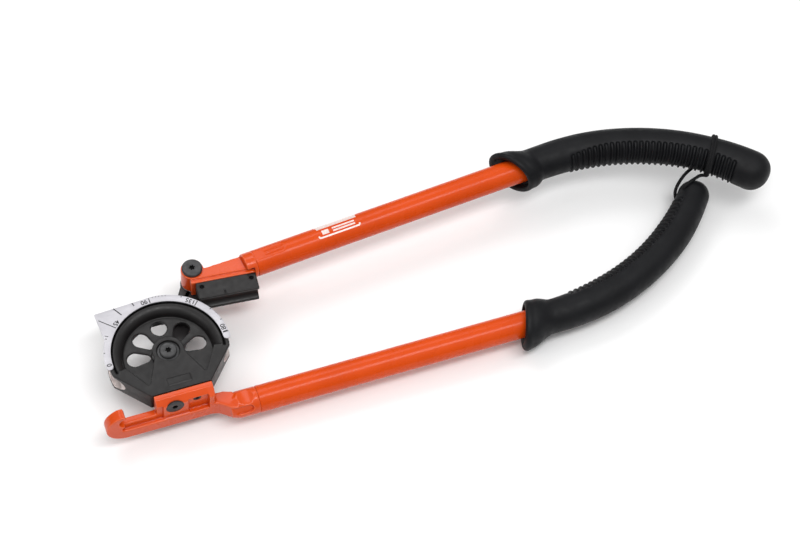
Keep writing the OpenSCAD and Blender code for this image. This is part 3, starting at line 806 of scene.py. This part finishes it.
def strap(material):
    """The elastic loop: up out of the lower grip's tip, round the upper grip and back in from below."""
    up = Vector((0, 0, 1))

    def beside_upper(s, inwards, height):
        middle, inward = handle_line(UPPER, s)
        return middle + inward * inwards + up * height

    points = [STRAP_HOLE + Vector((0, 0, z)) for z in (-10, -5, 0, 5, 11)]
    points += [STRAP_HOLE + Vector(p) for p in ((1.2, 0.8, 14.6), (6.3, 2.7, 16.0), (15.3, 5.7, 15.6),
                                                (21.5, 8.2, 15.2))]
    # up the near side of the upper grip, over it and down behind, then round it once more
    first, last = math.radians(STRAP_FROM), math.radians(STRAP_TO)
    for k in range(STRAP_STEPS):
        share = k / (STRAP_STEPS - 1)
        a = first + (last - first) * share
        reach = STRAP_REACH + 0.9 * max(0.0, math.cos(a))
        points.append(beside_upper(STRAP_WRAP + STRAP_PITCH * (0.5 - share),
                                   reach * math.cos(a), reach * math.sin(a)))
    # under the upper grip, down between the grips and round the lower tip's inner side to the hole
    points += [beside_upper(536.5, -12, -17.4), beside_upper(531, 1, -20)]
    points += [STRAP_HOLE + Vector(p) for p in ((12.4, 19.2, 9.5), (3.4, 13.2, 7.5), (-2.5, 8.6, 4.5),
                                                (-4.9, 5.6, 0), (-4.0, 4.0, -7), (-1.6, 1.9, -12.6),
                                                (0, 0, -13))]
    curve = bpy.data.curves.new("strap_line", "CURVE")
    curve.dimensions = "3D"
    spline = curve.splines.new("NURBS")
    spline.points.add(len(points) - 1)
    for p, q in zip(spline.points, points):
        p.co = (*(q * MM), 1)
    spline.use_cyclic_u, spline.order_u, spline.resolution_u = True, 4, 10
    curve.bevel_depth, curve.bevel_resolution = STRAP_R * MM, 4
    line = new_object("strap_line", curve)
    graph = bpy.context.evaluated_depsgraph_get()
    mesh = bpy.data.meshes.new_from_object(line.evaluated_get(graph))
    bpy.data.objects.remove(line)
    obj = new_object("strap_cord", mesh)
    shade(obj, 60)
    settle(obj, "lower_lever", material, "strap_elastic", "strap")
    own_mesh(obj)


# ---------------------------------------------------------------- camera, light, floor

def make_camera():
    azimuth, elevation, roll = (math.radians(a) for a in (CAMERA_AZIMUTH, CAMERA_ELEVATION, CAMERA_ROLL))
    ahead = Vector((math.sin(azimuth) * math.cos(elevation), math.cos(azimuth) * math.cos(elevation),
                    -math.sin(elevation)))
    level = Vector((math.cos(azimuth), -math.sin(azimuth), 0))
    below = ahead.cross(level)
    right = level * math.cos(roll) + below * math.sin(roll)
    down = below * math.cos(roll) - level * math.sin(roll)
    camera = bpy.data.objects.new("camera", bpy.data.cameras.new("camera"))
    camera.data.lens, camera.data.sensor_width = CAMERA_LENS, 36
    camera.data.clip_start, camera.data.clip_end = 0.05, 50
    bpy.context.scene.collection.objects.link(camera)
    camera.matrix_world = (Matrix.Translation(CAMERA_TARGET - ahead * CAMERA_DISTANCE)
                           @ Matrix((right, -down, -ahead)).transposed().to_4x4())
    bpy.context.scene.camera = camera


FLOOR_BELOW = 0.0005                   # metres under the lowest point of the object
SKY_LOW, SKY_HIGH = (0.05, 0.10), (0.8, 0.80)      # height of the direction, and tone there


def area_light(name, azimuth, elevation, distance, size, power):
    """A soft rectangular light, aimed at the middle of the object."""
    middle = (CAD_BOX[0] + CAD_BOX[1]) / 2
    a, e = math.radians(azimuth), math.radians(elevation)
    back = Vector((math.sin(a) * math.cos(e), -math.cos(a) * math.cos(e), math.sin(e)))
    data = bpy.data.lights.new(name, "AREA")
    data.shape, data.size, data.size_y = "RECTANGLE", *size
    data.energy = power
    light = bpy.data.objects.new(name, data)
    light.location = middle + back * distance
    light.rotation_mode = "QUATERNION"
    light.rotation_quaternion = (-back).to_track_quat("-Z", "Y")
    bpy.context.scene.collection.objects.link(light)


def studio():
    """A plain pale floor, soft lights, and a surround that is white above and dark at eye level."""
    world = bpy.data.worlds.new("studio")
    bpy.context.scene.world = world
    world.use_nodes = True
    nodes, links = world.node_tree.nodes, world.node_tree.links
    split = nodes.new("ShaderNodeSeparateXYZ")
    links.new(nodes.new("ShaderNodeTexCoord").outputs["Generated"], split.inputs["Vector"])
    sky = nodes.new("ShaderNodeValToRGB")
    for stop, (position, tone) in zip(sky.color_ramp.elements, (SKY_LOW, SKY_HIGH)):
        stop.position, stop.color = position, (tone, tone, tone, 1)
    links.new(split.outputs["Z"], sky.inputs["Fac"])
    links.new(sky.outputs["Color"], nodes["Background"].inputs["Color"])
    nodes["Background"].inputs["Strength"].default_value = 1.0
    area_light("key", 8, 74, 2.0, (1.7, 0.5), 20)
    area_light("rear", 190, 55, 2.0, (1.6, 0.7), 9)
    area_light("side", -80, 40, 2.0, (0.8, 0.8), 4)
    floor_f = Finish("floor")
    tone = floor_f.ramp(floor_f.noise(300, 2.0), (0.90, 0.90, 0.90), (0.92, 0.92, 0.92))
    material = floor_f.done(tone, floor_f.ramp(floor_f.noise(60, 2.0), 0.75, 0.85))
    bm = bmesh.new()
    bmesh.ops.create_grid(bm, x_segments=8, y_segments=8, size=12)
    mesh = bpy.data.meshes.new("floor")
    bm.to_mesh(mesh)
    bm.free()
    floor = new_object("floor", mesh)
    floor.location.z = CAD_BOX[0].z - FLOOR_BELOW
    mesh.materials.append(material)
    bpy.context.scene.view_settings.view_transform = "Standard"


# ---------------------------------------------------------------- the object

make_camera()

head_paint, tube_paint = enamel("head_paint", True), enamel("tube_paint", False)
cast_black = black_enamel("cast_black")
link_black = black_enamel("link_black", size=1.0, depth=0.04, tone=0.022, rough=(0.36, 0.5))
groove_metal, rubber_skin = bare_groove(), rubber()
screw_black, zinc_plated, bush_bronze = blackened(), zinc(), bronze()
PAINTED_SHADE_BLACK = painted_socket_shade()
CENTRE = Vector((0, 0, 0))
centre_black, pivot_black = turned_black("centre_black", CENTRE), turned_black("pivot_black", PIVOT)

casting("lower_head", "lower_lever", head_paint, "lever_paint", voxel=0.6, passes=12, carve=carve_hook)
casting("upper_head", "upper_lever", head_paint, "lever_paint", voxel=0.6, passes=8)
# the low raised panel on the former's web
web_panel = box_mesh("web_panel", (-10, -36, FORMER_TOP - 1), (11.2, -29.2, FORMER_TOP + 0.5))
# the former's groove gets bare metal, and its gap gets painted shade
casting("former", "lower_lever", cast_black, "black_casting", voxel=0.6, passes=4, extras=[web_panel],
        carve=carve_gap, paints=[(groove_metal, in_former_groove), (PAINTED_SHADE_BLACK, in_gap)])
casting("shoe", "upper_lever", cast_black, "black_casting", voxel=0.5, passes=4, carve=carve_shoe)

tube("lower_tube_skin", LOWER, tube_paint, flat=False)
tube("upper_tube_skin", UPPER, tube_paint, flat=True)
grip("lower_grip_skin", LOWER, (16.6, ((60, 17.6), (150, 17.2), (214, 15.8))), rubber_skin)
grip("upper_grip_skin", UPPER, (17.0, ((60, 17.8), (150, 18.0), (214, 19.8))), rubber_skin)
label(label_print())

for node, body, material, slot, bevel, dark in (
        ("scale_plate", "lower_lever", plate_metal(), "scale_plate", 0.15, None),
        ("former_screw", "lower_lever", screw_black, "black_screw", 0.2, in_screw_socket),
        ("former_pin", "lower_lever", screw_black, "black_screw", 0.2, None),
        ("centre_bolt", "lower_lever", centre_black, "black_bolt", 0.25, in_socket(CENTRE, CENTRE_TOP)),
        ("centre_washer", "lower_lever", centre_black, "black_bolt", 0.2, None),
        ("centre_bush", "lower_lever", zinc_plated, "plain_steel", 0.2, None),
        ("thrust_washer", "lower_lever", zinc_plated, "plain_steel", 0.15, None),
        ("nut_washer", "lower_lever", zinc_plated, "plain_steel", 0.2, None),
        ("centre_nut", "lower_lever", zinc_plated, "plain_steel", 0.5, None),
        ("link_arm", "link", link_black, "black_link", 0.6, None),
        ("link_bush", "link", bush_bronze, "bronze", 0.2, None),
        ("pivot_bolt", "link", pivot_black, "black_bolt", 0.25, in_socket(PIVOT, PIVOT_TOP)),
        ("pivot_thrust_washer", "link", zinc_plated, "plain_steel", 0.2, None),
        ("pivot_nut", "link", zinc_plated, "plain_steel", 0.5, None),
        ("pivot_bush", "pivot_sleeve", bush_bronze, "bronze", 0.2, None),
        # painted shade: the shoe's pins made near-black, so they read as dark holes
        ("shoe_pins", "upper_lever", PAINTED_SHADE_BLACK, "black_screw", 0.2, None)):
    crisp(node, body, material, slot, bevel, dark)

scale_marks(ink())
strap(braid())
studio()
